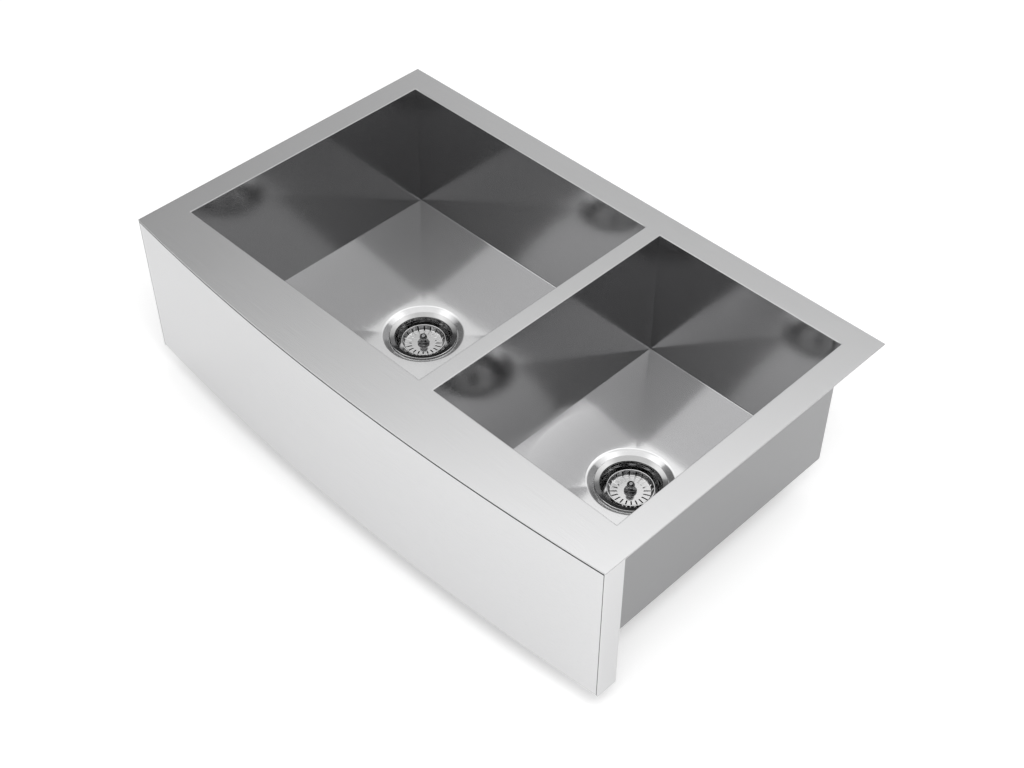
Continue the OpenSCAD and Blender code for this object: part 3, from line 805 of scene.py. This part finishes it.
basket_steel = turned_steel("basket_steel", colour=(0.76, 0.76, 0.76), roughness=(0.14, 0.18),
                            rings=900, depth=0.000002)
for side in OPENINGS:
    basket = bmesh.new()
    last_row, last_column = len(basket_rows) - 1, len(COLUMN_SHARES) - 1
    bmesh.ops.create_grid(basket, x_segments=last_column, y_segments=last_row, size=1)
    places = {vert: (round((vert.co.y + 1) / 2 * last_row),
                     round((vert.co.x + 1) / 2 * last_column)) for vert in basket.verts}
    slot_faces = [face for face in basket.faces if {places[v][1] for v in face.verts} == {2, 3}
                  and FIRST_SLOT_ROW <= min(places[v][0] for v in face.verts) < LAST_SLOT_ROW]
    for vert, (row, column) in places.items():
        radius, height, half = basket_rows[row]
        slot_turn = math.asin(half / radius)
        turned = (HALF_SECTOR - slot_turn) * COLUMN_SHARES[column]
        turned += slot_turn if column > 2 else -slot_turn
        vert.co = (radius * math.cos(turned), radius * math.sin(turned), height + BASKET_FLOOR)
    bmesh.ops.delete(basket, geom=slot_faces, context="FACES")
    bmesh.ops.remove_doubles(basket, verts=basket.verts, dist=SAME)
    bmesh.ops.rotate(basket, cent=(0, 0, 0), matrix=Matrix.Rotation(HALF_SECTOR, 3, "Z"),
                     verts=basket.verts)
    bmesh.ops.spin(basket, geom=basket.verts[:] + basket.edges[:] + basket.faces[:],
                   cent=(0, 0, 0), axis=(0, 0, 1), angle=math.radians(360 / SLOTS * (SLOTS - 1)),
                   steps=SLOTS - 1, use_duplicate=True)
    join_up(basket)
    middle_face = min(basket.faces, key=lambda face: face.calc_center_median().length_squared)
    turn_over(basket, middle_face, Vector((0, 0, 1)))
    dish = new_piece(side + "_basket_dish", settle(basket, side), basket_steel, "bright_steel",
                     side + "_dish", side + "_basket", wall=BASKET_WALL)
    soften = dish.modifiers.new("pressed_edges", "BEVEL")
    soften.width = BASKET_EDGE
    soften.segments = 2
    soften.limit_method = "ANGLE"
    soften.angle_limit = math.radians(50)
    dish.modifiers.move(2, 1)


# Plugs: a chromed knob is pressed on a chromed steel post, which holds the rubber stopper
# under the basket and ends in a round catch. The catch snaps through the crossbar in the
# outlet.
KNOB_TOP = -0.00391
KNOB_HEAD_RADIUS = 0.0059
KNOB_FOOT = -0.02211
KNOB_FOOT_RADIUS = 0.0093
POST_TOP = KNOB_FOOT + 0.008
POST_RADIUS = 0.0025
JOURNAL_RADIUS = 0.0035
JOURNAL_FOOT = -0.02351
CATCH_RADIUS = 0.0043
CATCH_HEIGHT = -0.04336
STOPPER_TOP = -0.02451
STOPPER_FOOT = -0.03581
STOPPER_RADIUS = 0.026
STOPPER_BORE = 0.00255
NECK_RADIUS = 0.010
KNOB_STEPS = 96
POST_STEPS = 64
CHROME_HAZE = (200, 200, 200)

# painted shade: the chrome's colour is darkened for the dark cup that the knob and post mirror
chrome = new_finish("knob_chrome", 1.0)
haze = noise(chrome, CHROME_HAZE)
dress(chrome, tinted(chrome, spread(chrome, haze, 0, 1), (0.28, 0.28, 0.285), (0.33, 0.33, 0.335)),
      roughness=spread(chrome, haze, 0.04, 0.07), normal=raised(chrome, haze, depth=0.000001))
knob_section = (
    [(0, KNOB_TOP)]
    + arc(0, KNOB_TOP - KNOB_HEAD_RADIUS, KNOB_HEAD_RADIUS, 82, -33, 14)
    + [(0.0058, KNOB_FOOT + 0.0063), (0.0069, KNOB_FOOT + 0.0042)]
    + arc(0.0081, KNOB_FOOT + 0.0014, 0.0012, 60, 0, 4)
    + [(KNOB_FOOT_RADIUS, KNOB_FOOT + 0.0003), (KNOB_FOOT_RADIUS - 0.0003, KNOB_FOOT),
       (POST_RADIUS, KNOB_FOOT)])
post_section = (
    [(0, POST_TOP), (POST_RADIUS, POST_TOP), (POST_RADIUS, KNOB_FOOT),
     (JOURNAL_RADIUS, KNOB_FOOT), (JOURNAL_RADIUS, JOURNAL_FOOT), (POST_RADIUS, JOURNAL_FOOT)]
    + arc(0, CATCH_HEIGHT, CATCH_RADIUS, 54.4, -90, 14))
stopper_section = [
    (STOPPER_BORE, STOPPER_FOOT), (STOPPER_RADIUS, STOPPER_FOOT),
    (STOPPER_RADIUS, STOPPER_FOOT + 0.0026), (NECK_RADIUS, STOPPER_FOOT + 0.00565),
    (NECK_RADIUS, STOPPER_TOP), (STOPPER_BORE, STOPPER_TOP)]
for side in OPENINGS:
    new_piece(side + "_knob_turned", settle(turn(knob_section, False, KNOB_STEPS), side), chrome,
              "knob_chrome", side + "_plug", side + "_knob")
    new_piece(side + "_post_turned", settle(turn(post_section, False, POST_STEPS), side), chrome,
              "knob_chrome", side + "_plug", side + "_post")
    stopper = turn(stopper_section)
    round_edges(stopper, hard_edges(stopper), RUBBER_EDGE)
    new_piece(side + "_stopper_moulded", settle(stopper, side), washer_rubber, "washer_rubber",
              side + "_plug", side + "_stopper")
    refinish(side + "_post_washer", bright_steel)
    refinish(side + "_post_nut", bright_steel)


# Studio: a pale paper floor that the outlets stand on, and soft screens of uneven strength
# all round under a pale ceiling, with one lamp at the front right for the soft shadow. The
# camera looks down on the sink's front right corner.
FLOOR_SIZE = 14.0
FLOOR_MIDDLE_Y = -0.25
PAPER = (0.8, 0.8, 0.8)
PAPER_GLOW = 0.20
BARE_GLOW = 2.0
# strength of the screens at every eighth of a turn, from the left by way of the front
SCREENS = (0.03, 0.63, 0.52, 0.15, 0.0, 0.48, 0.58, 0.56)
CEILING = 1.50
ZENITH = 0.85
# how far up each gives way to the next, from 0 at eye level to 1 overhead
SCREENS_TO_CEILING = (0.60, 0.93)
CEILING_TO_ZENITH = (0.86, 0.95)


def aim(thing, place, target):
    """Stands a lamp or a camera in its place and turns it to its target."""
    thing.location = place
    direction = Vector(target) - thing.location
    thing.rotation_euler = direction.to_track_quat("-Z", "Y").to_euler()
    bpy.context.scene.collection.objects.link(thing)


floor_shape = square_sheet(FLOOR_SIZE)
bmesh.ops.translate(floor_shape, vec=(0, FLOOR_MIDDLE_Y, solid_box[0][2]),
                    verts=floor_shape.verts)
floor_mesh = bpy.data.meshes.new("studio_floor")
floor_shape.to_mesh(floor_mesh)
floor_shape.free()
floor = bpy.data.objects.new("studio_floor", floor_mesh)
bpy.context.scene.collection.objects.link(floor)
paper = new_finish("studio_paper", 0.0)
for name, value in (("Base Color", PAPER), ("Roughness", 1.0), ("Specular IOR Level", 0.0),
                    ("Emission Color", (1, 1, 1))):
    feed(paper, value, sockets(paper)[name])
# the glow makes the paper white to the camera and in the steel, and throws no light
rays = paper.node_tree.nodes.new("ShaderNodeLightPath").outputs
seen = calculated(paper, "MAXIMUM",
                  calculated(paper, "MULTIPLY", rays["Is Camera Ray"], BARE_GLOW),
                  rays["Is Glossy Ray"])
seen = calculated(paper, "MAXIMUM", seen, rays["Is Transmission Ray"])
feed(paper, calculated(paper, "MULTIPLY", seen, PAPER_GLOW), sockets(paper)["Emission Strength"])
floor_mesh.materials.append(paper)

# the world's nodes are made and fed as a material's are
world = bpy.data.worlds.new("studio_world")
bpy.context.scene.world = world
world.use_nodes = True
sky_nodes = world.node_tree.nodes
sky = sky_nodes["Background"]
feed(world, (1, 1, 1), sky.inputs["Color"])
heading = sky_nodes.new("ShaderNodeTexCoord")
towards = sky_nodes.new("ShaderNodeSeparateXYZ")
feed(world, heading.outputs["Generated"], towards.inputs["Vector"])
around = calculated(world, "ARCTAN2", towards.outputs["Y"], towards.outputs["X"])
screens = sky_nodes.new("ShaderNodeValToRGB")
stops = screens.color_ramp.elements
for eighth, level in enumerate(SCREENS[1:], 1):
    stops.new(eighth / len(SCREENS)).color = (level, level, level, 1)
stops[0].color = stops[-1].color = (SCREENS[0], SCREENS[0], SCREENS[0], 1)
feed(world, mapped(world, around, -math.pi, math.pi), screens.inputs["Fac"])
overhead = mapped(world, towards.outputs["Z"], *SCREENS_TO_CEILING, soft=True)
ceiling = mapped(world, towards.outputs["Z"], *CEILING_TO_ZENITH, CEILING, ZENITH, soft=True)
strength = sky_nodes.new("ShaderNodeMix")
for name, value in (("Factor", overhead), ("A", screens.outputs["Color"]), ("B", ceiling)):
    feed(world, value, strength.inputs[name])
feed(world, strength.outputs["Result"], sky.inputs["Strength"])

lamp_data = bpy.data.lights.new("key_lamp", "AREA")
lamp_data.shape = "DISK"
lamp_data.size = 1.2
lamp_data.energy = 18.0
lamp = bpy.data.objects.new("key_lamp", lamp_data)
aim(lamp, place=(1.0, -0.9, 1.7), target=(0.2, -0.5, -0.2))
lamp.visible_glossy = False

camera_data = bpy.data.cameras.new("camera")
camera_data.lens = 55.29
camera_data.sensor_width = 36
camera_data.clip_start = 0.01
camera = bpy.data.objects.new("camera", camera_data)
aim(camera, place=(1.1778, -1.3969, 1.4278), target=(0.0831, -0.3035, -0.1100))
bpy.context.scene.camera = camera
bpy.context.scene.view_settings.view_transform = "Standard"
